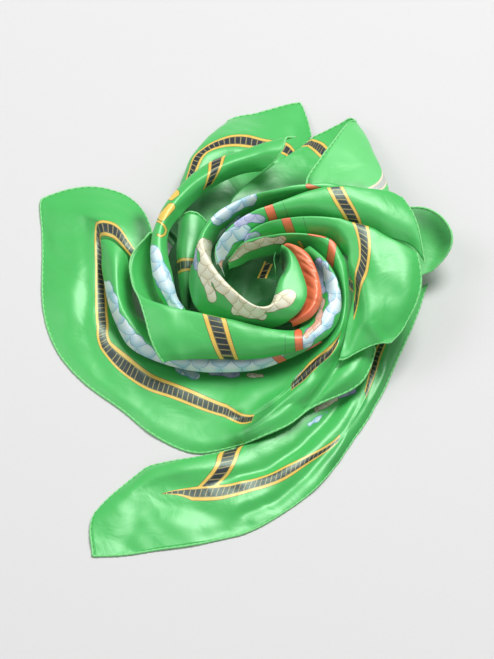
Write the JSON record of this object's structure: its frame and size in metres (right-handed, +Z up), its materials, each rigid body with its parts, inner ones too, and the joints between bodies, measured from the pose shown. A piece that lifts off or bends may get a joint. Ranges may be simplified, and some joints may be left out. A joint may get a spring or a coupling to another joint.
{
  "type": "square scarf",
  "caption": "Green printed silk square scarf swirled into a loose rose, corners spread out, golden ladder stripe along its border and rolled hem.",
  "frame": {"origin": "middle of the bounding box at floor level, under the heap", "axes": "+Z up from the floor; +Y from the drawn-out front corner towards the corners at the back; +X to the right as seen from the front"},
  "size_m": [0.412, 0.5494, 0.0898],
  "materials": {
    "hidden_layers": "twill, folded layers in shade",
    "front_apron": "satin-faced printed twill",
    "lower_roll": "satin-faced printed twill",
    "front_turn": "satin-faced printed twill",
    "inner_turn": "satin-faced printed twill",
    "rose_heart": "satin-faced printed twill",
    "cone_mouth": "satin-faced printed twill",
    "upper_roll": "satin-faced printed twill",
    "right_leaf": "satin-faced printed twill",
    "left_ribbon": "satin-faced printed twill",
    "small_leaf": "satin-faced printed twill",
    "back_leaf": "satin-faced printed twill",
    "back_cornet": "paler reverse side of the twill",
    "right_ear": "paler reverse side of the twill",
    "long_tail": "satin-faced printed twill"
  },
  "bodies": {
    "root": {"hidden_layers": "hidden_layers", "front_apron": "front_apron", "lower_roll": "lower_roll", "front_turn": "front_turn", "inner_turn": "inner_turn", "rose_heart": "rose_heart", "cone_mouth": "cone_mouth", "upper_roll": "upper_roll", "right_leaf": "right_leaf", "left_ribbon": "left_ribbon", "small_leaf": "small_leaf", "back_leaf": "back_leaf", "back_cornet": "back_cornet", "right_ear": "right_ear", "long_tail": "long_tail"}
  },
  "joints": []
}
